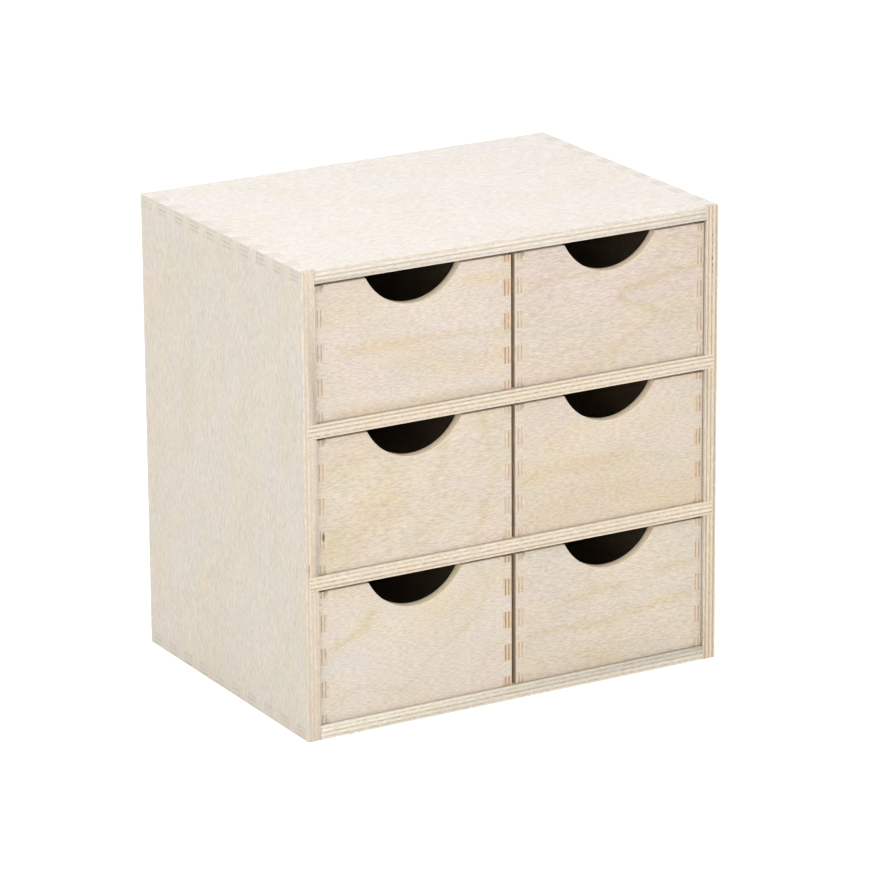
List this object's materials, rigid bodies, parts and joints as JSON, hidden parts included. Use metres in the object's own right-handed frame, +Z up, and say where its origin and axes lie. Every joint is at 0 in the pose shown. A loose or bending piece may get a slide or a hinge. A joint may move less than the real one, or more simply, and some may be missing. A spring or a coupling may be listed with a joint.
{
  "type": "mini chest of drawers",
  "caption": "Tabletop plywood chest with rows of paired pull-out drawers, finger-jointed corners and round finger notches; stands on its flat base.",
  "frame": {"origin": "middle of the chest's footprint, on the surface that it stands on", "axes": "+X to the right as seen from the front, +Y to the rear (the drawers pull out along -Y), +Z up"},
  "size_m": [0.296, 0.212, 0.3],
  "materials": {
    "birch_case": "sanded, unfinished birch plywood",
    "birch_shelf": "sanded, unfinished birch plywood",
    "birch_drawer": "sanded, unfinished birch plywood",
    "thin_ply": "thin unfinished birch plywood",
    "steel_pin": "bright flat-headed panel pin"
  },
  "bodies": {
    "case": {"left_side": "birch_case", "right_side": "birch_case", "top_panel": "birch_case", "bottom_panel": "birch_case", "upper_shelf": "birch_shelf", "lower_shelf": "birch_shelf", "back_panel": "thin_ply", "back_pins": "steel_pin"},
    "bottom_left_drawer": {"bottom_left_drawer_front": "birch_drawer", "bottom_left_drawer_back": "birch_drawer", "bottom_left_drawer_left_side": "birch_drawer", "bottom_left_drawer_right_side": "birch_drawer", "bottom_left_drawer_bottom": "thin_ply"},
    "bottom_right_drawer": {"bottom_right_drawer_front": "birch_drawer", "bottom_right_drawer_back": "birch_drawer", "bottom_right_drawer_left_side": "birch_drawer", "bottom_right_drawer_right_side": "birch_drawer", "bottom_right_drawer_bottom": "thin_ply"},
    "middle_left_drawer": {"middle_left_drawer_front": "birch_drawer", "middle_left_drawer_back": "birch_drawer", "middle_left_drawer_left_side": "birch_drawer", "middle_left_drawer_right_side": "birch_drawer", "middle_left_drawer_bottom": "thin_ply"},
    "middle_right_drawer": {"middle_right_drawer_front": "birch_drawer", "middle_right_drawer_back": "birch_drawer", "middle_right_drawer_left_side": "birch_drawer", "middle_right_drawer_right_side": "birch_drawer", "middle_right_drawer_bottom": "thin_ply"},
    "top_left_drawer": {"top_left_drawer_front": "birch_drawer", "top_left_drawer_back": "birch_drawer", "top_left_drawer_left_side": "birch_drawer", "top_left_drawer_right_side": "birch_drawer", "top_left_drawer_bottom": "thin_ply"},
    "top_right_drawer": {"top_right_drawer_front": "birch_drawer", "top_right_drawer_back": "birch_drawer", "top_right_drawer_left_side": "birch_drawer", "top_right_drawer_right_side": "birch_drawer", "top_right_drawer_bottom": "thin_ply"}
  },
  "joints": [
    {"name": "bottom_left_drawer_slide", "type": "slide", "parent": "case", "child": "bottom_left_drawer", "axis": [0, -1, 0], "range_m": [0, 0.18]},
    {"name": "bottom_right_drawer_slide", "type": "slide", "parent": "case", "child": "bottom_right_drawer", "axis": [0, -1, 0], "range_m": [0, 0.18]},
    {"name": "middle_left_drawer_slide", "type": "slide", "parent": "case", "child": "middle_left_drawer", "axis": [0, -1, 0], "range_m": [0, 0.18]},
    {"name": "middle_right_drawer_slide", "type": "slide", "parent": "case", "child": "middle_right_drawer", "axis": [0, -1, 0], "range_m": [0, 0.18]},
    {"name": "top_left_drawer_slide", "type": "slide", "parent": "case", "child": "top_left_drawer", "axis": [0, -1, 0], "range_m": [0, 0.18]},
    {"name": "top_right_drawer_slide", "type": "slide", "parent": "case", "child": "top_right_drawer", "axis": [0, -1, 0], "range_m": [0, 0.18]}
  ]
}
